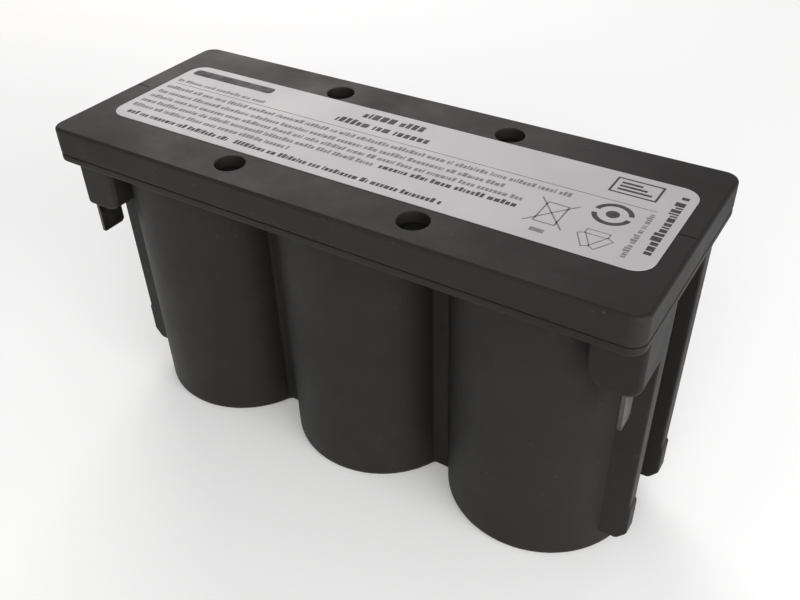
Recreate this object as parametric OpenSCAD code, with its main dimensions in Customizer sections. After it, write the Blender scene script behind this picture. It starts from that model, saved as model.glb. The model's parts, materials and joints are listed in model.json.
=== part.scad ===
// Sealed three-cell lead battery block with push-on blade terminals.
// Origin at the centre of the base, +X along the row of cells, +Z up, millimetres.

/* [Block] */
// Overall length, along X
block_l = 139; // [138:0.5:142]
// Overall width, along Y
block_w = 54; // [53:0.5:60]
// Overall height, to the top of the label
block_h = 77; // [76:0.5:86]
// Radius of the upright corners of the cover and the flange
corner_r = 3.2; // [2.5:0.1:6]

/* [Container] */
// Distance between the axes of neighbouring jars
cell_pitch = 44.5; // [44.3:0.1:45]
// Outer radius of a jar
jar_r = 22.2; // [22:0.1:22.3]
// Wall thickness of a jar
jar_wall = 1.5; // [1.3:0.1:1.6]
// Thickness of the jar floors
floor_t = 1.6; // [1:0.1:2]
// Rounding between a jar's wall and its floor
foot_round = 1.5; // [0.5:0.1:2]
// Thickness of the flange that carries the cover
flange_t = 1.8; // [1.5:0.1:3]
// Depth of the webs that join the jars, measured along Y
web_w = 18; // [12:1:20]

/* [End ribs and terminal guards] */
// Distance from the middle of the end to the near side of a rib
rib_inset = 8; // [6:0.5:9]
// Thickness of a rib
rib_t = 4; // [3:0.5:5]
// Height of the ribs' lower end above the base
rib_z = 6.2; // [5:0.1:8]
// Length of a terminal guard, along X
guard_l = 10.6; // [10:0.1:12]
// Height of the left terminal guard below the flange
left_guard_h = 14.2; // [12:0.1:16]
// Height of the right terminal guard below the flange
right_guard_h = 13.2; // [12:0.1:16]
// Rounding of the left guard's lower outer corner
left_guard_r = 1.2; // [1:0.1:4]
// Rounding of the right guard's lower outer corner
right_guard_r = 3.2; // [1:0.1:4]
// Rounding of a guard's lower inner corner
guard_inner_r = 4; // [2:0.1:5]

/* [Cover and label] */
// Height of the cover
cover_h = 6.45; // [6:0.05:9]
// Wall and ceiling thickness of the cover
cover_t = 1.5; // [1.2:0.1:2]
// Rounding of the cover's upper edge
cover_round = 0.8; // [0.4:0.1:1.2]
// Diameter of the round recesses in the cover
recess_d = 6.4; // [6:0.1:7]
// Depth of the recesses below the cover's top
recess_depth = 2; // [1:0.1:2.4]
// Distance of the recesses from the block's long middle plane
recess_y = 19.8; // [19:0.1:20.5]
// Length of the label
label_l = 128.4; // [120:0.1:130]
// Width of the label
label_w = 31; // [28:0.5:34]
// Radius of the label's corners
label_r = 4; // [2:0.5:5]
// Distance of the label's middle from the block's middle, along X
label_x = 1.1; // [-1.5:0.1:1.5]
// Distance of the label's middle from the block's middle, along Y
label_y = 0.5; // [-1:0.1:1]
// Thickness of the label
label_t = 0.15; // [0.05:0.05:0.2]

/* [Terminals] */
// Width of the left blade
left_blade_w = 6.35; // [6:0.05:6.4]
// Width of the right blade
right_blade_w = 4.75; // [4.6:0.05:6.4]
// Thickness of a blade
blade_t = 0.8; // [0.5:0.1:0.8]
// Height of the blades' tips above the base
blade_z = 46.5; // [46:0.1:48]
// Distance of the left blade's outer side from the end of the block
left_blade_inset = 1.6; // [1.6:0.1:2.6]
// Distance of the right blade's outer side from the end of the block
right_blade_inset = 2.7; // [1.6:0.1:3]
// Distance of the blades' front edges from the block's long middle plane
blade_front = 21.25; // [21:0.05:21.25]

/* [Cells] */
// Thickness of a positive plate
positive_t = 1.3; // [1:0.1:1.4]
// Thickness of a negative plate
negative_t = 1.1; // [0.9:0.1:1.2]
// Thickness of a separator
separator_t = 1; // [0.8:0.1:1.1]
// Turns in a wound cell
turns = 2.75; // [2.25:0.25:2.75]
// Height of the wound cell
roll_h = 48; // [40:1:49]
// Distance of the posts from a cell's axis
post_x = 10; // [10:0.1:10.4]
// Radius of the posts
post_r = 2.4; // [2:0.1:2.6]
// Outer radius of a vent stem
stem_r = 3.5; // [3:0.1:3.6]
// Radial clearance of a valve cap on its stem
cap_play = 0.04; // [0.02:0.01:0.08]
// Wall thickness of a valve cap
cap_wall = 1.6; // [1.2:0.1:1.7]

/* [Hidden] */
$fn = 64;
cells = [1, 2, 3];
sides = [-1, 1];
eps = 0.5; // overlap that makes cuts and joins clean
half_l = block_l / 2;
cover_top = block_h - label_t;
cover_z = cover_top - cover_h;
flange_z = cover_z - flange_t;
end_jar_x = cell_pitch;
well_r = jar_r - jar_wall;
// inner lid, seated on a ledge in the well
lid_z = 57;
lid_t = 2.6;
lid_top = lid_z + lid_t;
seat_r = well_r + 0.3;
lid_play = 0.05;
bushing_r = 4.2;
bushing_h = 2.8;
seal_h = 1.5;
seal_w = 0.9;
seal_play = 0.05;
vent_bore_r = 1.2;
stem_top = 66.5;
cap_skirt_z = lid_top + 1.4;
// series connectors pass through notches in the walls between the wells
post_top = 64;
connector_w = 8;
connector_t = 2.2;
notch_w = 11;
notch_z = 63;
web_drop = 3;
// a rib starts inside the end jar's wall and tapers to a foot pad with a cut corner
rib_root_x = end_jar_x + 15;
rib_front = -rib_inset - rib_t;
rib_draft = 0.5;
rib_draft_z = 17;
rib_pad_in = 0.1;
rib_pad_z = 16.4;
rib_cut_l = 1.9;
rib_cut_h = 2.4;
// guard walls; the blade's strip runs down inside
guard_floor = 1.2;
guard_front = 0.8;
guard_back = 1.6;
guard_side = 1.2;
guard_edge_r = 1.2;
guard_x = half_l - guard_l;
guard_room = 1;
slit_play = 0.1;
// terminal strip; its flat part lies just above the flange
strip_lift = 0.5;
strip_z = cover_z + strip_lift;
strip_leg_w = 4;
strip_eye_r = post_r + 1.4;
strip_shoulder = 4;
blade_tip_ease = 0.15;
blade_rear_ease = 0.7;
// wound cell
mandrel_r = 3;
layer_gap = 0.05;
roll_z = floor_t + 0.8;
roll_top = roll_z + roll_h;
lug_h = 2.2;
lug_w = 5;
strap_w = 6;
strap_t = 2.4;
strap_gap = 1.6;
strap_z = roll_top + lug_h;
ray_step = 15;
winding = positive_t + negative_t + 2 * separator_t + 4 * layer_gap;
negative_off = positive_t + separator_t + 2 * layer_gap;
// stakes that hold the cover down
stake_r = 1.5;
stake_head_t = 0.6;
stake_sink = 1;
stake_head_z = cover_top - recess_depth - stake_head_t;
boss_r = 4.6;

function cell_x(c) = (c - 2) * cell_pitch;

// Rectangle with round corners, centred on the origin.
module round_rect(l, w, r) {
    square([l - 2 * r, w], center = true);
    square([l, w - 2 * r], center = true);
    for (x = sides, y = sides)
        translate([x * (l / 2 - r), y * (w / 2 - r)]) circle(r);
}

// Block with upright corners of radius r and its upper edge rounded by f.
module eased_block(l, w, h, r, f) {
    linear_extrude(h - f) round_rect(l, w, r);
    linear_extrude(h) round_rect(l - 2 * f, w - 2 * f, r - f);
    for (y = sides)
        translate([r - l / 2, y * (w / 2 - f), h - f]) rotate([0, 90, 0])
            cylinder(h = l - 2 * r, r = f);
    for (x = sides)
        translate([x * (l / 2 - f), w / 2 - r, h - f]) rotate([90, 0, 0])
            cylinder(h = w - 2 * r, r = f);
    for (x = sides, y = sides)
        translate([x * (l / 2 - r), y * (w / 2 - r), h - f]) rotate_extrude()
            translate([r - f, 0]) circle(f);
}

// ---------- container ----------

module jar(c) {
    translate([cell_x(c), 0, 0]) rotate_extrude() {
        translate([0, foot_round]) square([jar_r, cover_z - foot_round]);
        square([jar_r - foot_round, foot_round + eps]);
        translate([jar_r - foot_round, foot_round]) circle(foot_round);
    }
}

// Rib on an end: slight draft down to a foot pad with a cut corner.
module end_rib() {
    pad_x = half_l - rib_pad_in;
    translate([0, rib_t, 0]) rotate([90, 0, 0]) linear_extrude(rib_t) polygon([
        [rib_root_x, flange_z + eps],
        [half_l, flange_z + eps],
        [half_l - rib_draft, rib_draft_z],
        [pad_x, rib_pad_z],
        [pad_x, rib_z + rib_cut_h],
        [pad_x - rib_cut_l, rib_z],
        [rib_root_x, rib_z]
    ]);
}

// Outline of a guard of height h seen from the front, its lower outer corner rounded by r.
module guard_outline(h, r) {
    guard_z = flange_z - h;
    flat_x = guard_x + guard_inner_r;
    flat_l = guard_l - guard_inner_r - r;
    translate([guard_x, guard_z + guard_inner_r]) square([guard_inner_r, h - guard_inner_r + eps]);
    translate([flat_x, guard_z]) square([flat_l, h + eps]);
    translate([half_l - r, guard_z + r]) square([r, h - r + eps]);
    translate([flat_x, guard_z + guard_inner_r]) circle(guard_inner_r);
    translate([half_l - r, guard_z + r]) circle(r);
}

// Guard at the +X end.
module guard_solid(h, r) {
    intersection() {
        translate([0, rib_front + eps, 0]) rotate([90, 0, 0])
            linear_extrude(jar_r + rib_front + eps) guard_outline(h, r);
        translate([guard_x, -jar_r, flange_z - h]) linear_extrude(h + eps) {
            translate([0, guard_edge_r]) square([guard_l, jar_r]);
            square([guard_l - guard_edge_r, jar_r]);
            translate([guard_l - guard_edge_r, guard_edge_r]) circle(guard_edge_r);
        }
    }
}

// Space inside a guard, open to the cover's inside, with a slit below for a blade of width w.
module guard_hollow(h, w, inset) {
    blade_x = half_l - inset - blade_t;
    inner_x = blade_x - guard_room;
    front = guard_front - jar_r;
    translate([inner_x, front, flange_z - h + guard_floor])
        cube([half_l - guard_side - inner_x, rib_front - guard_back - front, block_h]);
    translate([blade_x - slit_play, -blade_front - slit_play, flange_z - h - eps])
        cube([blade_t + 2 * slit_play, w + 2 * slit_play, h]);
}

module well(c) {
    translate([cell_x(c), 0, floor_t]) cylinder(h = block_h, r = well_r);
    translate([cell_x(c), 0, lid_z]) cylinder(h = block_h, r = seat_r);
}

module stake_places() {
    for (x = sides, y = sides)
        translate([x * cell_pitch / 2, y * recess_y, 0]) children();
}

module container() {
    color("#2d2b29") difference() {
        union() {
            for (c = cells) jar(c);
            for (x = sides)
                translate([x * cell_pitch / 2 - web_drop, -web_w / 2, foot_round])
                    cube([2 * web_drop, web_w, flange_z - foot_round]);
            translate([0, 0, flange_z]) linear_extrude(flange_t) round_rect(block_l, block_w, corner_r);
            for (m = [0, 1], y = [-rib_inset - rib_t, rib_inset])
                mirror([m, 0, 0]) translate([0, y, 0]) end_rib();
            mirror([1, 0, 0]) guard_solid(left_guard_h, left_guard_r);
            guard_solid(right_guard_h, right_guard_r);
        }
        for (c = cells) well(c);
        for (x = sides)
            translate([x * cell_pitch / 2 - web_drop, -notch_w / 2, notch_z])
                cube([2 * web_drop, notch_w, block_h]);
        mirror([1, 0, 0]) guard_hollow(left_guard_h, left_blade_w, left_blade_inset);
        guard_hollow(right_guard_h, right_blade_w, right_blade_inset);
        stake_places() translate([0, 0, cover_z - stake_sink]) cylinder(h = block_h, r = stake_r);
    }
}

// ---------- cover, label and stakes ----------

module cover() {
    color("#3a3836") difference() {
        translate([0, 0, cover_z])
            eased_block(block_l, block_w, cover_h, corner_r, cover_round);
        difference() {
            translate([0, 0, cover_z - eps]) linear_extrude(cover_h - cover_t + eps)
                round_rect(block_l - 2 * cover_t, block_w - 2 * cover_t, corner_r - cover_t);
            stake_places() translate([0, 0, cover_z - 2 * eps]) cylinder(h = cover_h, r = boss_r);
        }
        stake_places() {
            translate([0, 0, cover_z - eps]) cylinder(h = cover_h, r = stake_r);
            translate([0, 0, stake_head_z]) cylinder(h = cover_h, r = recess_d / 2);
        }
    }
}

module label() {
    color("white") translate([label_x, label_y, cover_top])
        linear_extrude(label_t) round_rect(label_l, label_w, label_r);
}

module cover_stakes() {
    foot = cover_z - stake_sink;
    color("#232120") stake_places() {
        translate([0, 0, foot]) cylinder(h = stake_head_z - foot, r = stake_r);
        translate([0, 0, stake_head_z]) cylinder(h = stake_head_t, r = recess_d / 2);
    }
}

// ---------- terminals and connectors ----------

// Strip for the +X end: a flat leg from the end post, then down through the guard as a blade
// of width w with an eased tip.
module terminal_strip(w, inset) {
    blade_x = half_l - inset - blade_t;
    post_at = [end_jar_x + post_x, 0];
    blade_at = [blade_x - strip_shoulder / 2, w / 2 - blade_front];
    run = norm(blade_at - post_at);
    turn = atan2(blade_at[1] - post_at[1], blade_at[0] - post_at[0]);
    translate([0, 0, strip_z]) linear_extrude(blade_t) {
        translate(post_at) circle(strip_eye_r);
        translate(post_at) rotate(turn) translate([0, -strip_leg_w / 2]) square([run, strip_leg_w]);
        translate([blade_x - strip_shoulder, -blade_front]) square([strip_shoulder + blade_t, w]);
    }
    translate([blade_x, -blade_front, 0]) rotate([90, 0, 90]) linear_extrude(blade_t) polygon([
        [blade_tip_ease, blade_z],
        [w - blade_rear_ease, blade_z],
        [w, blade_z + blade_rear_ease],
        [w, strip_z + blade_t],
        [0, strip_z + blade_t],
        [0, blade_z + blade_tip_ease]
    ]);
}

module terminal_left() {
    color("silver") mirror([1, 0, 0]) terminal_strip(left_blade_w, left_blade_inset);
}

module terminal_right() {
    color("silver") terminal_strip(right_blade_w, right_blade_inset);
}

// Lead bar from the positive post of cell c to the negative post of the next cell.
module connector(c) {
    from = cell_x(c) + post_x;
    reach = cell_pitch - 2 * post_x;
    color("slategray") translate([from, 0, post_top]) linear_extrude(connector_t) {
        for (x = [0, reach]) translate([x, 0]) circle(connector_w / 2);
        translate([0, -connector_w / 2]) square([reach, connector_w]);
    }
}

// ---------- wound cells ----------

// Point on the spiral that starts at radius r on the +X ray.
function spiral(r, a) = (r + winding * a / 360) * [cos(a), sin(a)];

// Band of a wound strip: off is its distance from the innermost face, t its thickness.
module band(off, t) {
    last = 360 * turns;
    polygon(concat(
        [for (a = [0 : ray_step : last]) spiral(mandrel_r + off, a)],
        [for (a = [last : -ray_step : 0]) spiral(mandrel_r + off + t, a)]
    ));
}

// Plate with one lug on each winding where the strip crosses the side s of the X axis.
module plate(c, off, t, s) {
    translate([cell_x(c), 0, roll_z]) {
        linear_extrude(roll_h) band(off, t);
        linear_extrude(roll_h + lug_h) intersection() {
            band(off, t);
            translate([s > 0 ? 0 : -well_r, -lug_w / 2]) square([well_r, lug_w]);
        }
    }
}

module positive_plate(c) {
    color("saddlebrown") plate(c, 0, positive_t, 1);
}

module negative_plate(c) {
    color("dimgray") plate(c, negative_off, negative_t, -1);
}

module separator(c) {
    inner = positive_t + layer_gap;
    outer = negative_off + negative_t + layer_gap;
    color("white") translate([cell_x(c), 0, roll_z])
        for (off = [inner, outer]) linear_extrude(roll_h) band(off, separator_t);
}

// Lead strap on the plate lugs; s is the side of the cell.
module strap(c, s) {
    far = well_r - strap_gap;
    color("lightslategray") translate([cell_x(c), 0, strap_z]) mirror([s > 0 ? 0 : 1, 0, 0])
        translate([mandrel_r, -strap_w / 2, 0]) cube([far - mandrel_r, strap_w, strap_t]);
}

// Post on a strap; the end posts of the row reach up to the terminal strips.
module post(c, s) {
    foot = strap_z + strap_t;
    top = cell_x(c) * s > 0 ? strip_z : post_top;
    color("lightslategray") translate([cell_x(c) + s * post_x, 0, foot])
        cylinder(h = top - foot, r = post_r);
}

// Inner lid with two post bushings and the vent stem.
module lid(c) {
    color("#4a4845") translate([cell_x(c), 0, 0]) difference() {
        union() {
            translate([0, 0, lid_z]) cylinder(h = lid_t, r = seat_r - lid_play);
            for (s = sides) translate([s * post_x, 0, lid_z])
                cylinder(h = lid_t + bushing_h, r = bushing_r);
            translate([0, 0, lid_z]) cylinder(h = stem_top - lid_z, r = stem_r);
        }
        for (s = sides) translate([s * post_x, 0, lid_z - eps]) {
            cylinder(h = block_h, r = post_r + seal_play);
            translate([0, 0, lid_t + bushing_h - seal_h + eps])
                cylinder(h = block_h, r = post_r + seal_w + 2 * seal_play);
        }
        translate([0, 0, lid_z - eps]) cylinder(h = block_h, r = vent_bore_r);
    }
}

module post_seals(c) {
    color("black") for (s = sides)
        translate([cell_x(c) + s * post_x, 0, lid_top + bushing_h - seal_h]) difference() {
            cylinder(h = seal_h, r = post_r + seal_play + seal_w);
            translate([0, 0, -eps]) cylinder(h = seal_h + 2 * eps, r = post_r + seal_play);
        }
}

// Rubber cap that sits over the vent stem and lifts off it under pressure.
module valve_cap(c) {
    color("#1c1c1c") translate([cell_x(c), 0, cap_skirt_z]) difference() {
        cylinder(h = stem_top + cap_wall - cap_skirt_z, r = stem_r + cap_play + cap_wall);
        translate([0, 0, -eps]) cylinder(h = stem_top - cap_skirt_z + eps, r = stem_r + cap_play);
    }
}

container();
cover();
label();
cover_stakes();
terminal_left();
terminal_right();
connector(1);  // connector_12
connector(2);  // connector_23
for (c = cells) {
    positive_plate(c);
    negative_plate(c);
    separator(c);
    strap(c, 1);
    strap(c, -1);
    post(c, 1);
    post(c, -1);
    lid(c);
    post_seals(c);
    valve_cap(c);
}
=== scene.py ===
"""Looks of a sealed three-cell lead battery block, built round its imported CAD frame.

The outside is remodelled with its mould roundings, parting lines and printed label; the cells inside
keep their CAD shapes and get materials. Shapes are worked out in millimetres and stored in metres.
"""

import json
import math
import random

import bmesh
import bpy
from mathutils import Matrix, Vector


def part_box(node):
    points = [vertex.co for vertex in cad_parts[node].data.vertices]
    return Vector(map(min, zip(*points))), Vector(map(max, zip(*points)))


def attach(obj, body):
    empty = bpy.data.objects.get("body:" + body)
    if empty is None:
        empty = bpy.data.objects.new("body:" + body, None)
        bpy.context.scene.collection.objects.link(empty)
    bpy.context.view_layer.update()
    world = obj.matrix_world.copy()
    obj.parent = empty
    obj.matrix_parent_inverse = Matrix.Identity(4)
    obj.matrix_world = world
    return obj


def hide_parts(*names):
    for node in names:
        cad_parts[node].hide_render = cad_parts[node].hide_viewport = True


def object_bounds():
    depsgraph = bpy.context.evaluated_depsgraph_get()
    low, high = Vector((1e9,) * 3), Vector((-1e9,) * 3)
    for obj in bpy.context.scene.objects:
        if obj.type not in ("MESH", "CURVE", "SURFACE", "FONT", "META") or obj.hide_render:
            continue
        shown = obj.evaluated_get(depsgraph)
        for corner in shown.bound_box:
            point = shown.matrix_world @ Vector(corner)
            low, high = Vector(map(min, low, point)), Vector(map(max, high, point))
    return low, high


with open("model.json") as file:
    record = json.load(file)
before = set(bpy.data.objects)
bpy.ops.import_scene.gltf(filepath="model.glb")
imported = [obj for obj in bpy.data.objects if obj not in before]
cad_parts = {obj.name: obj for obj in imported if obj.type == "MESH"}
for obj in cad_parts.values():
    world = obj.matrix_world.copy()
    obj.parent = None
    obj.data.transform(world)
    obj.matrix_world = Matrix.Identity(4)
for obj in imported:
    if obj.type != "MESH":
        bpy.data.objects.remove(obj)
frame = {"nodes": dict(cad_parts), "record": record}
cad_low, cad_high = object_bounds()

MM = 0.001
BLOCK = "block"
SIDES = (-1, 1)
WELD_MM = 1e-4  # points closer than this become one, in millimetres while a solid is drawn
WELD_M = 2e-6  # and in metres once its booleans are done
SHARP_ANGLE = 32.0


def box_mm(node):
    """Lowest and highest corners of a CAD node, in millimetres."""
    low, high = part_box(node)
    return low / MM, high / MM


# ---------- driving dimensions, in millimetres ----------

_, case_high = box_mm("container")
cover_low, cover_high = box_mm("cover")
label_low, label_high = box_mm("label")
_, stake_high = box_mm("cover_stakes")
tabs = {-1: box_mm("terminal_left"), 1: box_mm("terminal_right")}

HALF_L = case_high.x
HALF_W = case_high.y
SEAM_Z = cover_low.z
COVER_TOP = cover_high.z
CORNER_R = 3.2
OVERRUN = 1.0  # how far a cut runs past the face that it opens
EDGE_STEPS = 6  # faces round a quarter of a rounded edge

# jars, the webs between them and the flange round their mouths
PITCH = 44.5
JAR_X = (-PITCH, 0.0, PITCH)
VALLEY_X = (-PITCH / 2, PITCH / 2)
JAR_R = 22.2
FLOOR_T = 1.6
FOOT_R = 1.5
FLANGE_T = 1.8
FLANGE_Z = SEAM_Z - FLANGE_T
FLANGE_EDGES = (0.6, 0.3)
WEB_HALF = 9.0
WEB_FILLET = 1.0
NOTCH_HALF = (3.0, 5.5)
NOTCH_Z = 63.0

# inside of a jar, the ring in its foot and its gate mark, as (radius, height)
INSIDE_TOP = SEAM_Z + OVERRUN
WELL_R = 20.7
WELL_EASE = 0.8
SEAT_R = 21.0
LID_Z = 57.0
WELL_PROFILE = (
    (WELL_R - WELL_EASE, FLOOR_T), (WELL_R, FLOOR_T + WELL_EASE), (WELL_R, LID_Z), (SEAT_R, LID_Z),
    (SEAT_R, INSIDE_TOP),
)
FOOT_RING_PROFILE = ((16.4, -OVERRUN), (16.4, 0.001), (15.9, 0.45))
GATE_PROFILE = ((2.2, 0.05), (2.4, 0.25), (2.4, FLOOR_T))
WELL_STEPS = 72
SMALL_STEPS = 32

# end ribs; the outer face is (height, distance in from the block's end): cut corner, foot pad, step, draft
RIB_Y = (8.0, 12.0)
RIB_Z = 6.2
RIB_EDGE = 0.45
RIB_FILLET = 0.5
PAD_TOP, PAD_STEP, PAD_END = 16.2, 16.8, 17.2
RIB_FACE = (
    (RIB_Z, 2.2), (RIB_Z + 0.25, 1.75), (RIB_Z + 2.0, 0.35), (RIB_Z + 2.5, 0.12),
    (PAD_TOP, 0.1), (PAD_STEP, 0.45), (PAD_END, 0.5), (FLANGE_Z + OVERRUN, 0.04),
)
JAR_RINGS = (FOOT_R + 0.6, RIB_Z - 0.4, RIB_Z)
RIB_RINGS = (
    RIB_Z, RIB_Z + 0.25, RIB_Z + 2.0, RIB_Z + 2.5, RIB_Z + 3.2, PAD_TOP, PAD_STEP, PAD_END, PAD_END + 0.8,
    FLANGE_Z - 6.0, FLANGE_Z + OVERRUN,
)

# terminal guards and the blades that come out of them; -1 is the left side, 1 the right
GUARD_L = 10.6
GUARD_Z = {-1: 54.4, 1: 55.4}
GUARD_OUTER_R = {-1: 1.2, 1: 3.2}
GUARD_INNER_R = 4.0
GUARD_EDGE = 1.0
GUARD_INSET = 0.04
GUARD_JOIN = 0.8
GUARD_STEPS = 10
GUARD_WALL = 1.2
GUARD_FRONT_WALL = 0.8
GUARD_SPACE_BACK = -13.6
STRIP_ROOM = 1.0
BLADE_W = {-1: 6.35, 1: 4.75}
BLADE_T = 0.8
SLIT_GAP = 0.1
SLIT_TOP = 2.0

# cover
COVER_WALL = 1.5
COVER_LIP_R = 0.7
COVER_LIP_LEAN = 0.6
COVER_EDGE_R = 0.8
GROOVE_L = 4.6
GROOVE_HALF = 0.16
BOSS_R = 4.6
BOSS_STEPS = 48

# recesses in the cover and the stakes at their bottoms, as (radius, height)
STAKE_Y = (-19.8, 19.8)
STAKE_R = 1.5
STAKE_GAP = 0.02
STAKE_STEPS = 40
STAKE_HEAD_Z = stake_high.z
HEAD_LOW = STAKE_HEAD_Z - 0.6
RECESS_R = 3.2
RIM_R = RECESS_R + 0.3
HEAD_R = RECESS_R - 0.06
RECESS_PROFILE = (
    (RECESS_R, HEAD_LOW), (RECESS_R, COVER_TOP - 0.3), (RECESS_R + 0.08, COVER_TOP - 0.12),
    (RIM_R, COVER_TOP + 0.001), (RIM_R, COVER_TOP + OVERRUN),
)
STAKE_PROFILE = (
    (STAKE_R - STAKE_GAP, SEAM_Z - 0.98), (STAKE_R - STAKE_GAP, HEAD_LOW), (HEAD_R, HEAD_LOW + 0.02),
    (HEAD_R, HEAD_LOW + 0.22), (HEAD_R - 0.35, HEAD_LOW + 0.42), (HEAD_R - 1.3, HEAD_LOW + 0.56),
    (0.8, STAKE_HEAD_Z), (0.35, HEAD_LOW + 0.45),
)

# label film and the rows of blocks printed on it: x from, x to, y, height, block width, upright, word lengths
INK_T = 0.012
INK_SINK = 0.02
FILM_TOP = label_high.z - INK_T
FILM_EDGE = ((0.0, label_low.z), (0.0, FILM_TOP - 0.05), (0.05, FILM_TOP - 0.012), (0.3, FILM_TOP))
FILM_R = 4
WORD = (2, 9)
# plain bar in the place of a heading: left, foot, length, height, corner radius
HEADING_BAR = (-61.2, 10.8, 24.7, 2.8, 0.9)
BOLD_ROWS = (
    (-10.4, 5.2, 11.3, 2.4, 1.25, False, (4, 5)),
    (-15.1, 10.0, 7.1, 2.4, 1.25, False, (2, 6)),
    (-59.6, -29.6, -12.8, 1.6, 0.8, False, WORD),
    (-27.6, 23.6, -12.8, 1.6, 0.8, False, WORD),
    (5.5, 36.3, -6.5, 1.6, 0.85, False, WORD),
    (-9.4, 12.4, -63.6, 1.9, 1.15, True, (12, 14)),
)
FINE_ROWS = (
    (-61.5, -34.2, 6.0, 1.3, 0.7, False, WORD),
    (-61.3, 44.3, 1.9, 1.5, 0.72, False, WORD),
    (-61.3, 31.1, -1.1, 1.5, 0.72, False, WORD),
    (-61.3, 36.3, -3.85, 1.5, 0.72, False, WORD),
    (-61.3, 4.4, -6.6, 1.5, 0.72, False, WORD),
    (-61.3, -15.6, -9.4, 1.5, 0.72, False, WORD),
    (-12.2, 3.6, -60.0, 1.2, 0.62, True, WORD),
)
BOLD_SEED, FINE_SEED = 7, 19


# ---------- mesh helpers ----------

def arc(cx, cy, r, start, stop, steps):
    """Points of an arc, angles in degrees, both ends included."""
    turn = [math.radians(start + (stop - start) * i / steps) for i in range(steps + 1)]
    return [(cx + r * math.cos(t), cy + r * math.sin(t)) for t in turn]


def round_rect(half_l, half_w, r, steps=12):
    """Outline of a rectangle with round corners, anticlockwise from the right-hand corner."""
    outline = []
    for k, (sx, sy) in enumerate(((1, 1), (-1, 1), (-1, -1), (1, -1))):
        outline += arc(sx * (half_l - r), sy * (half_w - r), r, 90 * k, 90 * k + 90, steps)
    return outline


def round_profile(r, steps, edge_z, upper=True):
    """(inset, height) pairs of a quarter round edge that ends at edge_z."""
    pairs = []
    for i in range(steps + 1):
        t = math.radians(90 * i / steps)
        rise = r * math.sin(t)
        inset = r * (1 - math.cos(t))
        pairs.append((inset, edge_z - r + rise if upper else edge_z + r - rise))
    return pairs if upper else pairs[::-1]


def loft(bm, loops):
    """Closed solid skinned over loops of 3-D points, each with the same number of points."""
    rings = [[bm.verts.new(p) for p in loop] for loop in loops]
    count = len(rings[0])
    for low, high in zip(rings, rings[1:]):
        for i in range(count):
            j = (i + 1) % count
            bm.faces.new((low[i], low[j], high[j], high[i]))
    bm.faces.new(rings[0][::-1])
    bm.faces.new(rings[-1])


def flat_loop(outline, z):
    return [(x, y, z) for x, y in outline]


def lathe(bm, profile, x=0.0, y=0.0, steps=64):
    """Solid turned round an upright axis; profile holds (radius, height), from the bottom up."""
    loops = [flat_loop(arc(x, y, r, 0, 360 - 360 / steps, steps - 1), z) for r, z in profile]
    loft(bm, loops)


def block(bm, low, high):
    """Plain block between two corners, for cuts and for parts that get rounded afterwards."""
    (x0, y0, z0), (x1, y1, z1) = low, high
    corners = ((x0, y0), (x1, y0), (x1, y1), (x0, y1))
    loft(bm, [flat_loop(corners, z0), flat_loop(corners, z1)])


def mesh_object(name, bm):
    """Object from a bmesh in millimetres; it isn't shaded yet."""
    bmesh.ops.recalc_face_normals(bm, faces=bm.faces)
    mesh = bpy.data.meshes.new(name)
    bm.to_mesh(mesh)
    bm.free()
    mesh.transform(Matrix.Scale(MM, 4))
    obj = bpy.data.objects.new(name, mesh)
    bpy.context.scene.collection.objects.link(obj)
    return obj


def weld(bm, distance):
    bmesh.ops.remove_doubles(bm, verts=bm.verts, dist=distance)
    bmesh.ops.dissolve_degenerate(bm, edges=bm.edges, dist=distance)


def solid(name, build, *args, **kwargs):
    """Object from a function that adds one closed solid to a bmesh."""
    bm = bmesh.new()
    build(bm, *args, **kwargs)
    weld(bm, WELD_MM)
    return mesh_object(name, bm)


def combine(target, other, operation):
    """Exact boolean of two objects; the second is used up."""
    mod = target.modifiers.new("combine", "BOOLEAN")
    mod.operation = operation
    mod.solver = "EXACT"
    mod.object = other
    graph = bpy.context.evaluated_depsgraph_get()
    mesh = bpy.data.meshes.new_from_object(target.evaluated_get(graph))
    target.modifiers.clear()
    old = target.data
    target.data = mesh
    bpy.data.meshes.remove(old)
    bpy.data.objects.remove(other)


def shade(obj):
    """Smooth faces with sharp creases; large flat faces keep their own normals."""
    bm = bmesh.new()
    bm.from_mesh(obj.data)
    weld(bm, WELD_M)
    limit = math.radians(SHARP_ANGLE)
    for face in bm.faces:
        face.smooth = True
    for edge in bm.edges:
        edge.smooth = len(edge.link_faces) == 2 and edge.calc_face_angle(0.0) < limit
    bm.to_mesh(obj.data)
    bm.free()
    mod = obj.modifiers.new("normals", "WEIGHTED_NORMAL")
    mod.keep_sharp = True
    mod.weight = 80


def place(obj, material, slot, *replaced):
    """Gives a finished piece its material, its body and the CAD nodes that it stands for."""
    obj.data.materials.clear()
    obj.data.materials.append(material)
    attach(obj, BLOCK)
    if replaced:
        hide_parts(*replaced)


# ---------- materials ----------

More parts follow.
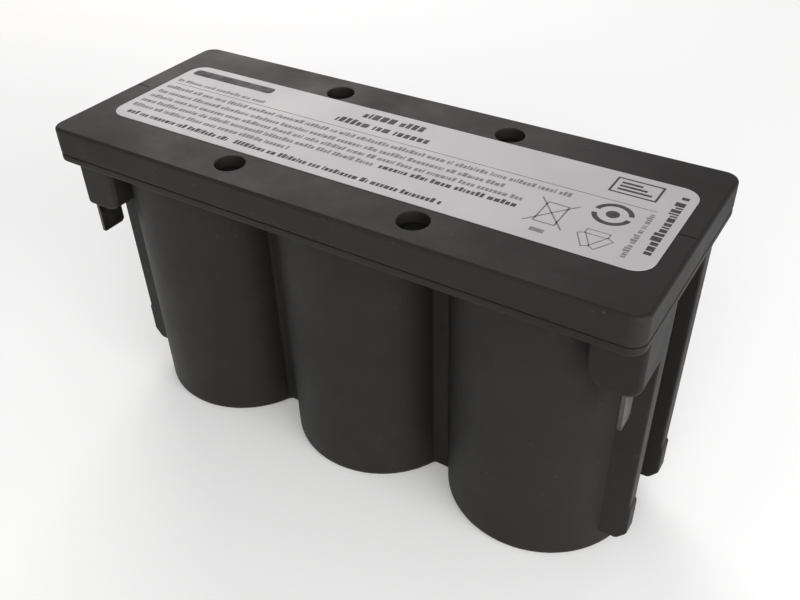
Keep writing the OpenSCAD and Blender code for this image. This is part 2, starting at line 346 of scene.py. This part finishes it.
class Nodes:
    """Short way to build a node material."""

    def __init__(self, name):
        self.material = bpy.data.materials.new(name)
        self.material.use_nodes = True
        self.tree = self.material.node_tree
        self.shader = next(n for n in self.tree.nodes if n.type == "BSDF_PRINCIPLED")
        self.place = self.add("ShaderNodeTexCoord").outputs["Object"]

    def add(self, kind, **settings):
        node = self.tree.nodes.new(kind)
        for key, value in settings.items():
            setattr(node, key, value)
        return node

    def link(self, source, target):
        self.tree.links.new(source, target)

    def stretch(self, scale, turn=(0, 0, 0)):
        """Object coordinates, scaled and turned."""
        node = self.add("ShaderNodeMapping")
        node.inputs["Scale"].default_value = scale
        node.inputs["Rotation"].default_value = [math.radians(a) for a in turn]
        self.link(self.place, node.inputs["Vector"])
        return node.outputs["Vector"]

    def noise(self, scale, detail=3.0, rough=0.55, vector=None, distort=0.0):
        node = self.add("ShaderNodeTexNoise")
        node.inputs["Scale"].default_value = scale
        node.inputs["Detail"].default_value = detail
        node.inputs["Roughness"].default_value = rough
        node.inputs["Distortion"].default_value = distort
        self.link(self.place if vector is None else vector, node.inputs["Vector"])
        return node.outputs["Fac"]

    def ramp(self, source, low, high, out_low=0.0, out_high=1.0):
        """Maps low..high of a value to out_low..out_high, clamped."""
        node = self.add("ShaderNodeMapRange", clamp=True)
        self.link(source, node.inputs["Value"])
        for key, value in (("From Min", low), ("From Max", high), ("To Min", out_low), ("To Max", out_high)):
            node.inputs[key].default_value = value
        return node.outputs["Result"]

    def math(self, operation, a, b):
        node = self.add("ShaderNodeMath", operation=operation)
        for socket, value in zip(node.inputs, (a, b)):
            if isinstance(value, (int, float)):
                socket.default_value = value
            else:
                self.link(value, socket)
        return node.outputs["Value"]

    def mix(self, factor, a, b):
        """Mixes two colours or colour outputs."""
        node = self.add("ShaderNodeMix", data_type="RGBA")
        sockets = [s for s in node.inputs if s.type == "RGBA"]
        for socket, value in zip(sockets, (a, b)):
            if isinstance(value, tuple):
                socket.default_value = (*value, 1)
            else:
                self.link(value, socket)
        if isinstance(factor, (int, float)):
            node.inputs["Factor"].default_value = factor
        else:
            self.link(factor, node.inputs["Factor"])
        return next(s for s in node.outputs if s.type == "RGBA")

    def bump(self, height, depth_mm):
        """Adds a bump of that depth on top of any earlier one."""
        node = self.add("ShaderNodeBump")
        node.inputs["Strength"].default_value = 1.0
        node.inputs["Distance"].default_value = depth_mm * MM
        self.link(height, node.inputs["Height"])
        normal = self.shader.inputs["Normal"]
        if normal.is_linked:
            self.link(normal.links[0].from_socket, node.inputs["Normal"])
        self.link(node.outputs["Normal"], normal)

    def set(self, **values):
        """Sets or links inputs of the shader; an underscore stands for a space in their names."""
        for key, value in values.items():
            socket = self.shader.inputs[key.replace("_", " ")]
            if isinstance(value, (int, float, tuple)):
                socket.default_value = value
            else:
                self.link(value, socket)


VALLEY_ACROSS = (0.002, 0.0085)  # metres from a valley's middle, painted shade full to none
VALLEY_DEEP = (0.0125, 0.0185)  # metres from the block's long axis, painted shade full to none


def painted_shade_mask(n):
    """Where shade is painted: one in the grooves between the jars, none on their open sides."""
    split = n.add("ShaderNodeSeparateXYZ")
    n.link(n.place, split.inputs["Vector"])
    from_middle = n.math("ABSOLUTE", split.outputs["X"], 0)
    off_x = n.math("ABSOLUTE", n.math("SUBTRACT", from_middle, PITCH / 2 * MM), 0)
    deep_y = n.math("ABSOLUTE", split.outputs["Y"], 0)
    across = n.ramp(off_x, *VALLEY_ACROSS, 1, 0)
    return n.math("MULTIPLY", across, n.ramp(deep_y, *VALLEY_DEEP, 1, 0))


def plastic(name, dark, light, specular, rough=(0.5, 0.64), dust=0.1, valley_shade=0.0):
    """Moulded black plastic: soft mottling, fine spark-eroded grain, rub marks, hair scratches and dust.

    A value above zero paints shade into the grooves between neighbouring jars: it darkens their colour and
    dulls their gloss.
    """
    n = Nodes(name)
    mottle = n.ramp(n.noise(38, 4, 0.6), 0.34, 0.68)
    flow = n.ramp(n.noise(9, 3, 0.5, n.stretch((1, 1, 0.35)), 0.6), 0.3, 0.7)
    colour = n.mix(n.math("MULTIPLY", n.math("ADD", mottle, flow), 0.5), dark, light)
    rubbed = n.ramp(n.noise(60, 6, 0.7, n.stretch((1.0, 1.4, 0.5), (0, 0, 24))), 0.6, 0.76)
    specks = n.ramp(n.noise(900, 2, 0.5), 0.71, 0.78)
    colour = n.mix(n.math("MULTIPLY", rubbed, dust), colour, tuple(min(1, c * 2.4 + 0.01) for c in light))
    colour = n.mix(n.math("MULTIPLY", specks, dust), colour, (0.2, 0.19, 0.18))
    grain = n.noise(2600, 2, 0.5)
    hair = n.ramp(n.noise(120, 3, 0.6, n.stretch((0.6, 9, 9), (0, 0, 31))), 0.70, 0.74)
    base_rough = n.ramp(n.noise(55, 5, 0.65), 0.3, 0.7, *rough)
    gloss = n.math("ADD", specular, n.math("MULTIPLY", rubbed, 0.05))
    # painted shade: darker colour and weaker gloss in the grooves between the jars, where the jars shade each
    # other
    if valley_shade:
        painted_valley_shade = n.math("MULTIPLY", valley_shade, painted_shade_mask(n))
        colour = n.mix(painted_valley_shade, colour, tuple(c * 0.35 for c in dark))
        gloss = n.math("MULTIPLY", gloss, n.math("SUBTRACT", 1.0, painted_valley_shade))
    n.set(
        Base_Color=colour,
        Roughness=n.math("ADD", base_rough, n.math("MULTIPLY", rubbed, 0.08)),
        Specular_IOR_Level=gloss,
    )
    n.bump(grain, 0.012)
    n.bump(n.noise(26, 2, 0.5), 0.06)
    n.bump(hair, -0.01)
    return n.material


def film(name):
    """White label film: nearly smooth, slightly uneven in tone, rubbed and faintly wavy."""
    n = Nodes(name)
    tint = n.ramp(n.noise(24, 3, 0.5), 0.35, 0.68)
    colour = n.mix(tint, (0.425, 0.404, 0.417), (0.475, 0.455, 0.46))
    soil = n.ramp(n.noise(150, 5, 0.7, n.stretch((0.7, 1.6, 1))), 0.62, 0.8)
    colour = n.mix(n.math("MULTIPLY", soil, 0.12), colour, (0.345, 0.33, 0.312))
    rough = n.ramp(n.noise(70, 4, 0.6), 0.3, 0.7, 0.36, 0.5)
    n.set(Base_Color=colour, Roughness=rough, Specular_IOR_Level=0.15)
    n.bump(n.noise(30, 1, 0.4), 0.05)
    n.bump(n.noise(1500, 2, 0.5), 0.004)
    return n.material


def ink(name, dark, light):
    """Printed ink with an uneven coat."""
    n = Nodes(name)
    coat = n.ramp(n.noise(900, 3, 0.6), 0.3, 0.7)
    rough = n.ramp(n.noise(400, 2, 0.5), 0.3, 0.7, 0.5, 0.7)
    n.set(Base_Color=n.mix(coat, dark, light), Roughness=rough, Specular_IOR_Level=0.12)
    n.bump(n.noise(1800, 2, 0.5), 0.003)
    return n.material


def metal(name, dark, light, rough, streaks=0.006):
    """Plated or cast metal with stains and fine rolling marks."""
    n = Nodes(name)
    stain = n.ramp(n.noise(210, 5, 0.65), 0.32, 0.7)
    n.set(
        Base_Color=n.mix(stain, dark, light),
        Metallic=1.0,
        Roughness=n.ramp(n.noise(330, 4, 0.6), 0.3, 0.7, *rough),
    )
    n.bump(n.noise(500, 3, 0.6, n.stretch((7, 7, 0.5))), streaks)
    return n.material


def paste(name, dark, light):
    """Porous active mass of a plate."""
    n = Nodes(name)
    pores = n.noise(1200, 5, 0.7)
    colour = n.mix(n.ramp(pores, 0.3, 0.7), dark, light)
    n.set(Base_Color=colour, Roughness=n.ramp(pores, 0.3, 0.7, 0.95, 0.75))
    n.bump(pores, 0.05)
    return n.material


def glass_mat(name):
    """White mat of fine glass fibres."""
    n = Nodes(name)
    fibres = n.noise(700, 5, 0.7, n.stretch((1, 1, 5), (20, 15, 0)))
    cross = n.noise(700, 5, 0.7, n.stretch((5, 5, 1), (0, 25, 40)))
    weave = n.math("MULTIPLY", n.math("ADD", fibres, cross), 0.5)
    colour = n.mix(n.ramp(weave, 0.35, 0.65), (0.62, 0.62, 0.6), (0.86, 0.86, 0.84))
    n.set(Base_Color=colour, Roughness=0.95)
    n.bump(weave, 0.05)
    return n.material


def rubber(name):
    """Black moulded rubber with a dusty bloom."""
    n = Nodes(name)
    bloom = n.ramp(n.noise(180, 5, 0.7), 0.45, 0.75)
    colour = n.mix(bloom, (0.012, 0.012, 0.012), (0.045, 0.044, 0.043))
    n.set(Base_Color=colour, Roughness=n.ramp(bloom, 0, 1, 0.62, 0.8))
    n.bump(n.noise(1400, 3, 0.6), 0.015)
    return n.material


def floor_finish(name):
    """Pale matt sheet."""
    n = Nodes(name)
    tone = n.ramp(n.noise(2.5, 3, 0.5), 0.3, 0.7)
    colour = n.mix(tone, (0.94, 0.94, 0.94), (0.965, 0.965, 0.96))
    n.set(Base_Color=colour, Roughness=0.85, Specular_IOR_Level=0.2)
    n.bump(n.noise(600, 3, 0.5), 0.02)
    return n.material


materials = {
    # the case plastic carries painted shade in the grooves between its jars
    "case_plastic": plastic(
        "case_plastic", (0.0102, 0.0092, 0.0087), (0.0154, 0.0140, 0.0130), 0.2, valley_shade=0.25,
    ),
    "cover_plastic": plastic(
        "cover_plastic", (0.0106, 0.0096, 0.0091), (0.0155, 0.0140, 0.0131), 0.22, (0.56, 0.70), 0.14,
    ),
    "label_film": film("label_film"),
    # painted shade: the stake heads at the bottoms of the cover's recesses are darker and less glossy than
    # the cover, so the recesses look shaded
    "stake_plastic": plastic(
        "stake_plastic", (0.006, 0.0055, 0.0052), (0.010, 0.0092, 0.0088), 0.08, (0.7, 0.85), 0.02,
    ),
    "tinned_brass": metal("tinned_brass", (0.055, 0.053, 0.05), (0.12, 0.116, 0.109), (0.38, 0.56)),
    "lead": metal("lead", (0.17, 0.175, 0.19), (0.33, 0.335, 0.35), (0.45, 0.65), streaks=0.02),
    "positive_mass": paste("positive_mass", (0.065, 0.03, 0.018), (0.17, 0.085, 0.05)),
    "negative_mass": paste("negative_mass", (0.14, 0.145, 0.155), (0.27, 0.275, 0.285)),
    "separator_mat": glass_mat("separator_mat"),
    "lid_plastic": plastic("lid_plastic", (0.045, 0.043, 0.041), (0.065, 0.062, 0.059), 0.4, (0.45, 0.6)),
    "seal_rubber": rubber("seal_rubber"),
    "cap_rubber": rubber("cap_rubber"),
}
print_dark = ink("print_dark", (0.032, 0.029, 0.032), (0.075, 0.07, 0.075))
print_soft = ink("print_soft", (0.15, 0.143, 0.15), (0.225, 0.215, 0.225))


# ---------- container ----------

def row_outline(inset=0.0, rib_x=None):
    """Plan outline of the three jars, the webs between them and, where rib_x is given, the end ribs.

    One quadrant is worked out and mirrored. Every call gives the same number of points.
    """
    jar = JAR_R - inset
    quadrant = []

    def fillet_foot(centre, point):
        return math.degrees(math.atan2(point[1] - centre[1], point[0] - centre[0]))

    # the two fillets where a rib meets the end jar
    reach = JAR_R + RIB_FILLET
    near = (PITCH + math.sqrt(reach**2 - (RIB_Y[0] - RIB_FILLET) ** 2), RIB_Y[0] - RIB_FILLET)
    far = (PITCH + math.sqrt(reach**2 - (RIB_Y[1] + RIB_FILLET) ** 2), RIB_Y[1] + RIB_FILLET)
    near_turn = fillet_foot((PITCH, 0), near)
    far_turn = fillet_foot((PITCH, 0), far)
    quadrant += arc(PITCH, 0, jar, 0, near_turn, 6)
    if rib_x is None:
        quadrant += arc(PITCH, 0, jar, near_turn, far_turn, 25)[1:-1]
    else:
        quadrant += arc(*near, RIB_FILLET, near_turn + 180, 90, 5)[1:]
        corner_low = RIB_Y[0] + RIB_EDGE
        corner_high = RIB_Y[1] - RIB_EDGE
        quadrant += arc(rib_x - RIB_EDGE, corner_low, RIB_EDGE, -90, 0, 6)
        quadrant += arc(rib_x - RIB_EDGE, corner_high, RIB_EDGE, 0, 90, 6)
        quadrant += arc(*far, RIB_FILLET, 270, far_turn + 180, 5)[:-1]
    # end jar to web, web, and web to middle jar
    web_r = WEB_FILLET + inset
    web_y = WEB_HALF + WEB_FILLET
    web_dx = math.sqrt((JAR_R + WEB_FILLET) ** 2 - web_y**2)
    lean = math.degrees(math.atan2(web_y, web_dx))
    quadrant += arc(PITCH, 0, jar, far_turn, 180 - lean, 36)
    quadrant += arc(PITCH - web_dx, web_y, web_r, -lean, -90, 6)[1:]
    quadrant += arc(web_dx, web_y, web_r, -90, lean - 180, 6)
    quadrant += arc(0, 0, jar, lean, 90, 20)[1:]
    left = [(-x, y) for x, y in quadrant[-2::-1]]
    upper = quadrant + left
    lower = [(x, -y) for x, y in upper[-2:0:-1]]
    return upper + lower


def rib_reach(z):
    """Outer face of a rib at height z, between the two stations on either side of it."""
    for (z0, inset0), (z1, inset1) in zip(RIB_FACE, RIB_FACE[1:]):
        if z <= z1:
            x0, x1 = HALF_L - inset0, HALF_L - inset1
            return x0 + (x1 - x0) * (z - z0) / (z1 - z0)
    return HALF_L - RIB_FACE[-1][1]


def jar_row(bm):
    """The jars from their rounded feet up into the flange, with webs and ribs."""
    loops = []
    for inset, z in round_profile(FOOT_R, EDGE_STEPS, 0.0, upper=False):
        loops.append(flat_loop(row_outline(inset), z))
    for z in JAR_RINGS:
        loops.append(flat_loop(row_outline(), z))
    for z in RIB_RINGS:
        loops.append(flat_loop(row_outline(rib_x=rib_reach(z)), z))
    loft(bm, loops)


def flange(bm):
    """Plate with rounded corners and rounded lower and upper edges."""
    low_round, high_round = FLANGE_EDGES
    pairs = round_profile(low_round, 5, FLANGE_Z, upper=False) + round_profile(high_round, 5, SEAM_Z)
    loft(bm, [flat_loop(round_rect(HALF_L - i, HALF_W - i, CORNER_R - i), z) for i, z in pairs])


def guard(bm, side):
    """Solid of a terminal guard: from the front, a plate with rounded lower corners."""
    x_in = HALF_L - GUARD_L
    x_out = HALF_L - GUARD_INSET
    top = FLANGE_Z + GUARD_JOIN
    foot = GUARD_Z[side]
    outer_r = GUARD_OUTER_R[side]

    def outline(inset):
        inner_x, inner_z = x_in + GUARD_INNER_R, foot + GUARD_INNER_R
        points = arc(inner_x, inner_z, GUARD_INNER_R - inset, 180, 270, GUARD_STEPS)
        points += arc(x_out - outer_r, foot + outer_r, outer_r - inset, 270, 360, GUARD_STEPS)
        return points + [(x_out - inset, top), (x_in + inset, top)]

    loops = []
    for inset, depth in round_profile(GUARD_EDGE, EDGE_STEPS, JAR_R)[::-1]:
        loops.append([(side * x, -depth, z) for x, z in outline(inset)])
    loops.append([(side * x, -RIB_Y[0] - OVERRUN, z) for x, z in outline(0)])
    loft(bm, loops)


def guard_space(bm, side):
    """Space for the strip inside a guard."""
    x0, x1 = sorted((side * (blade_outer(side) - BLADE_T - STRIP_ROOM), side * (HALF_L - GUARD_WALL)))
    floor_z = GUARD_Z[side] + GUARD_WALL
    block(bm, (x0, GUARD_FRONT_WALL - JAR_R, floor_z), (x1, GUARD_SPACE_BACK, INSIDE_TOP))


def guard_slit(bm, side):
    """Slit in a guard's lower face that its blade comes out of."""
    outer = blade_outer(side)
    x0, x1 = sorted((side * (outer - BLADE_T - SLIT_GAP), side * (outer + SLIT_GAP)))
    y0 = tabs[side][0].y
    foot = GUARD_Z[side]
    block(bm, (x0, y0 - SLIT_GAP, foot - OVERRUN), (x1, y0 + BLADE_W[side] + SLIT_GAP, foot + SLIT_TOP))


def blade_outer(side):
    """Distance of a strip's outer face from the block's middle."""
    low, high = tabs[side]
    return max(abs(low.x), abs(high.x))


def container():
    case = solid("container_body", jar_row)
    combine(case, solid("flange", flange), "UNION")
    for side in SIDES:
        combine(case, solid("guard", guard, side), "UNION")
    for x in JAR_X:
        combine(case, solid("foot_ring", lathe, FOOT_RING_PROFILE, x, steps=WELL_STEPS), "DIFFERENCE")
        combine(case, solid("well", lathe, WELL_PROFILE, x, steps=WELL_STEPS), "DIFFERENCE")
        combine(case, solid("gate_mark", lathe, GATE_PROFILE, x, steps=SMALL_STEPS), "UNION")
    hole = ((STAKE_R, SEAM_Z - OVERRUN), (STAKE_R, INSIDE_TOP))
    half_x, half_y = NOTCH_HALF
    for x in VALLEY_X:
        notch = solid("notch", block, (x - half_x, -half_y, NOTCH_Z), (x + half_x, half_y, INSIDE_TOP))
        combine(case, notch, "DIFFERENCE")
        for y in STAKE_Y:
            combine(case, solid("hole", lathe, hole, x, y, steps=SMALL_STEPS), "DIFFERENCE")
    for side in SIDES:
        combine(case, solid("space", guard_space, side), "DIFFERENCE")
        combine(case, solid("slit", guard_slit, side), "DIFFERENCE")
    shade(case)
    place(case, materials["case_plastic"], "case_plastic", "container")


# ---------- cover, stakes and label ----------

def cover_shell(bm):
    """Thin cover: rounded lower lip, upright sides, rounded upper edge and a hollow underside."""
    pairs = [(i * COVER_LIP_LEAN, z) for i, z in round_profile(COVER_LIP_R, EDGE_STEPS, SEAM_Z, upper=False)]
    pairs += round_profile(COVER_EDGE_R, EDGE_STEPS, COVER_TOP)
    outer = [flat_loop(round_rect(HALF_L - i, HALF_W - i, CORNER_R - i), z) for i, z in pairs]
    wall = round_rect(HALF_L - COVER_WALL, HALF_W - COVER_WALL, CORNER_R - COVER_WALL)
    inner = [flat_loop(wall, COVER_TOP - COVER_WALL), flat_loop(wall, SEAM_Z)]
    loft(bm, inner + outer)


def cover():
    lid = solid("cover_shell", cover_shell)
    boss = ((BOSS_R, SEAM_Z), (BOSS_R, COVER_TOP - 1))
    bore = ((STAKE_R, SEAM_Z - OVERRUN), (STAKE_R, STAKE_HEAD_Z))
    for x in VALLEY_X:
        for y in STAKE_Y:
            combine(lid, solid("boss", lathe, boss, x, y, steps=BOSS_STEPS), "UNION")
            combine(lid, solid("recess", lathe, RECESS_PROFILE, x, y, steps=BOSS_STEPS), "DIFFERENCE")
            combine(lid, solid("bore", lathe, bore, x, y, steps=SMALL_STEPS), "DIFFERENCE")
    top = COVER_TOP + OVERRUN
    for side in SIDES:
        x0, x1 = sorted((side * (HALF_L - GROOVE_L), side * (HALF_L + OVERRUN)))
        groove = solid("groove", block, (x0, -GROOVE_HALF, COVER_TOP - GROOVE_HALF), (x1, GROOVE_HALF, top))
        combine(lid, groove, "DIFFERENCE")
    shade(lid)
    place(lid, materials["cover_plastic"], "cover_plastic", "cover")


def stakes(bm):
    """Heat-formed stakes: straight shanks with flattened, slightly domed heads."""
    for x in VALLEY_X:
        for y in STAKE_Y:
            lathe(bm, STAKE_PROFILE, x, y, steps=STAKE_STEPS)


def label_sheet(bm):
    """Film with round corners and an edge that is pressed down a little."""
    mid_x, mid_y = (label_low.x + label_high.x) / 2, (label_low.y + label_high.y) / 2
    half_l, half_w = (label_high.x - label_low.x) / 2, (label_high.y - label_low.y) / 2
    loops = []
    for inset, z in FILM_EDGE:
        outline = round_rect(half_l - inset, half_w - inset, FILM_R - inset, 10)
        loops.append([(x + mid_x, y + mid_y, z) for x, y in outline])
    loft(bm, loops)


def ink_patch(bm, outline):
    """Thin printed shape on the film, given by its outline."""
    low, high = FILM_TOP - INK_SINK, label_high.z
    area = sum(a[0] * b[1] - b[0] * a[1] for a, b in zip(outline, outline[1:] + outline[:1]))
    if area < 0:
        outline = outline[::-1]
    loft(bm, [flat_loop(outline, low), flat_loop(outline, high)])


def ink_bar(bm, x0, y0, x1, y1):
    ink_patch(bm, [(x0, y0), (x1, y0), (x1, y1), (x0, y1)])


def ink_line(bm, a, b, width):
    """Straight stroke from a to b."""
    dx, dy = b[0] - a[0], b[1] - a[1]
    length = math.hypot(dx, dy)
    ox, oy = -dy / length * width / 2, dx / length * width / 2
    start = [(a[0] + ox, a[1] + oy), (a[0] - ox, a[1] - oy)]
    stop = [(b[0] - ox, b[1] - oy), (b[0] + ox, b[1] + oy)]
    ink_patch(bm, start + stop)


def ink_ring(bm, centre, outer, inner, start, stop, steps=24):
    """Part of a ring, as one closed outline."""
    outline = arc(*centre, outer, start, stop, steps) + arc(*centre, inner, stop, start, steps)
    ink_patch(bm, outline)


def block_row(bm, rng, x0, x1, y, height, wide, upright, words):
    """Row of plain blocks that stands for a line of print; it has no letters.

    Words are runs of blocks of uneven width with a wider gap after them.
    """
    x = x0
    left = rng.randint(*words)
    while x < x1 - wide * 0.4:
        width = min(wide * rng.choice((0.45, 0.85, 1.0, 1.0, 1.35)), x1 - x)
        top = y + height * (1.0 if rng.random() < 0.3 else 0.74)
        corners = [(x, y), (x + width, y), (x + width, top), (x, top)]
        ink_patch(bm, [turned(p, upright) for p in corners])
        x += width + wide * 0.32
        left -= 1
        if left == 0:
            x += wide * 0.7
            left = rng.randint(*words)


def turned(point, upright):
    """A row that is printed up the label has its length along Y."""
    return (-point[1], point[0]) if upright else point


def print_bold(bm):
    """Heading bar, ratings rows and the heavy row at the foot of the label."""
    rng = random.Random(BOLD_SEED)
    left, foot, length, height, r = HEADING_BAR
    ink_patch(bm, [(left + px, foot + py) for px, py in round_box(length, height, r)])
    for row in BOLD_ROWS:
        block_row(bm, rng, *row)
    framed_panel(bm)
    split_ring(bm)


def round_box(width, height, r):
    """Outline of a round-cornered box with its lower left corner at the origin."""
    return [(x + width / 2, y + height / 2) for x, y in round_rect(width / 2, height / 2, r, 4)]


def box_outline(bm, x0, y0, x1, y1, line):
    """Frame drawn inside a rectangle: lower, upper, left and right strokes."""
    ink_bar(bm, x0, y0, x1, y0 + line)
    ink_bar(bm, x0, y1 - line, x1, y1)
    ink_bar(bm, x0, y0 + line, x0 + line, y1 - line)
    ink_bar(bm, x1 - line, y0 + line, x1, y1 - line)


def framed_panel(bm):
    """Plain framed panel with three bars, each shorter than the one below it."""
    x0, y0, width, height = 48.9, 8.0, 9.6, 6.0
    margin, pitch, bar = 1.4, 1.3, 0.7
    box_outline(bm, x0, y0, x0 + width, y0 + height, 0.45)
    for k in range(3):
        foot = y0 + pitch + pitch * k
        ink_bar(bm, x0 + margin, foot, x0 + width - margin - pitch * k, foot + bar)


def split_ring(bm):
    """Ring in two halves round a dot."""
    centre = (53.1, 0.1)
    for start in (12, 192):
        ink_ring(bm, centre, 3.9, 2.9, start, start + 156)
    ink_patch(bm, arc(*centre, 1.3, 0, 345, 23))


def print_fine(bm):
    """Small rows, the header rule and the outline signs."""
    rng = random.Random(FINE_SEED)
    ink_bar(bm, -61.0, 4.75, 59.9, 4.97)
    for row in FINE_ROWS:
        block_row(bm, rng, *row)
    crossed_box(bm)
    three_bars(bm)


def crossed_box(bm):
    """Outlined box with two long diagonals and a short bar under it."""
    left, right, low, high, line = 39.3, 47.0, -9.6, -0.3, 0.34
    box_outline(bm, 40.9, -8.9, 45.5, -1.4, line)
    ink_line(bm, (left, low), (right, high), line)
    ink_line(bm, (left, high), (right, low), line)
    ink_bar(bm, 41.8, -12.2, 44.6, -11.0)


def three_bars(bm):
    """Three long outlined boxes set in a triangle."""
    centre = (53.2, -9.2)
    spread, half_l, half_w, line = 1.9, 2.2, 0.75, 0.26
    for k in range(3):
        turn = math.radians(90 + 120 * k)
        out = (math.cos(turn), math.sin(turn))
        mid = (centre[0] + spread * out[0], centre[1] + spread * out[1])

        def corner(along, across):
            return (
                mid[0] - along * half_l * out[1] + across * half_w * out[0],
                mid[1] + along * half_l * out[0] + across * half_w * out[1],
            )

        for s in SIDES:
            ink_line(bm, corner(-1, s), corner(1, s), line)
        for s in SIDES:
            ink_line(bm, corner(s, -1), corner(s, 1), line)


def label():
    sheet = solid("label_film_sheet", label_sheet)
    shade(sheet)
    place(sheet, materials["label_film"], "label_film", "label")
    prints = (("label_print_bold", print_bold, print_dark), ("label_print_fine", print_fine, print_soft))
    for name, draw, material in prints:
        bm = bmesh.new()
        draw(bm)
        place(mesh_object(name, bm), material, "label_film")


container()
cover()
stake_piece = solid("cover_stake_heads", stakes)
shade(stake_piece)
place(stake_piece, materials["stake_plastic"], "stake_plastic", "cover_stakes")
label()


# ---------- CAD nodes that keep their shapes ----------

EASED = {"tinned_brass": 0.1, "lead": 0.2, "lid_plastic": 0.2, "cap_rubber": 0.25, "seal_rubber": 0.08}
EASE_ANGLE = 40.0
slot_of = {part["node"]: part["material_slot"] for part in frame["record"]["subparts"]}
for node, obj in frame["nodes"].items():
    if obj.hide_render:
        continue
    slot = slot_of[node]
    obj.data.materials.clear()
    obj.data.materials.append(materials[slot])
    if slot in EASED:
        ease = obj.modifiers.new("eased_edges", "BEVEL")
        ease.width = EASED[slot] * MM
        ease.segments = 2
        ease.limit_method = "ANGLE"
        ease.angle_limit = math.radians(EASE_ANGLE)
        ease.use_clamp_overlap = True


# ---------- floor, lights and camera ----------

FLOOR_HALF = 3.0
FLOOR_GAP = 0.0001


def area_light(name, place_at, target, size, power, colour=(1, 1, 1)):
    """Rectangular light that faces its target."""
    data = bpy.data.lights.new(name, "AREA")
    data.shape = "RECTANGLE"
    data.size, data.size_y = size
    data.energy = power
    data.color = colour
    obj = bpy.data.objects.new(name, data)
    obj.location = place_at
    bpy.context.scene.collection.objects.link(obj)
    obj.rotation_mode = "QUATERNION"
    obj.rotation_quaternion = (Vector(target) - obj.location).to_track_quat("-Z", "Y")


def floor():
    """Large pale sheet just under the block."""
    bm = bmesh.new()
    bmesh.ops.create_grid(bm, x_segments=8, y_segments=8, size=FLOOR_HALF)
    mesh = bpy.data.meshes.new("floor")
    bm.to_mesh(mesh)
    bm.free()
    obj = bpy.data.objects.new("floor", mesh)
    obj.location.z = cad_low.z - FLOOR_GAP
    obj.data.materials.append(floor_finish("floor_finish"))
    bpy.context.scene.collection.objects.link(obj)


floor()

world = bpy.data.worlds.new("studio")
bpy.context.scene.world = world
world.use_nodes = True
sky = world.node_tree.nodes["Background"]
sky.inputs["Color"].default_value = (0.97, 0.98, 1.0, 1)
sky.inputs["Strength"].default_value = 0.43

area_light("key", (0.28, -0.72, 0.58), (0, 0, 0.03), (0.6, 0.6), 4.5, (1.0, 0.985, 0.965))
area_light("top", (-0.55, 0.66, 0.44), (0, 0, 0.05), (0.6, 0.6), 4.1, (1.0, 0.965, 0.95))
area_light("side", (0.74, -0.24, 0.27), (0, 0, 0.05), (0.6, 0.5), 5.0)

camera = bpy.data.cameras.new("camera")
camera.sensor_width = 36.0
camera.lens = 39.8
camera.clip_start = 0.005
camera.clip_end = 20.0
camera.dof.use_dof = False
shot = bpy.data.objects.new("camera", camera)
bpy.context.scene.collection.objects.link(shot)

AZIMUTH, ELEVATION, ROLL = 33.44, 37.19, -1.86
TARGET = Vector((4.87, 1.22, 38.0)) * MM
DISTANCE = 208.07 * MM
az, el = math.radians(AZIMUTH), math.radians(ELEVATION)
back = Vector((math.sin(az) * math.cos(el), -math.cos(az) * math.cos(el), math.sin(el)))
shot.location = TARGET + back * DISTANCE
shot.rotation_mode = "QUATERNION"
level = (-back).to_track_quat("-Z", "Y")
shot.rotation_quaternion = level @ Matrix.Rotation(math.radians(ROLL), 3, "Z").to_quaternion()
bpy.context.scene.camera = shot

scene = bpy.context.scene
scene.view_settings.view_transform = "Standard"
scene.view_settings.look = "None"
scene.view_settings.exposure = 0.0
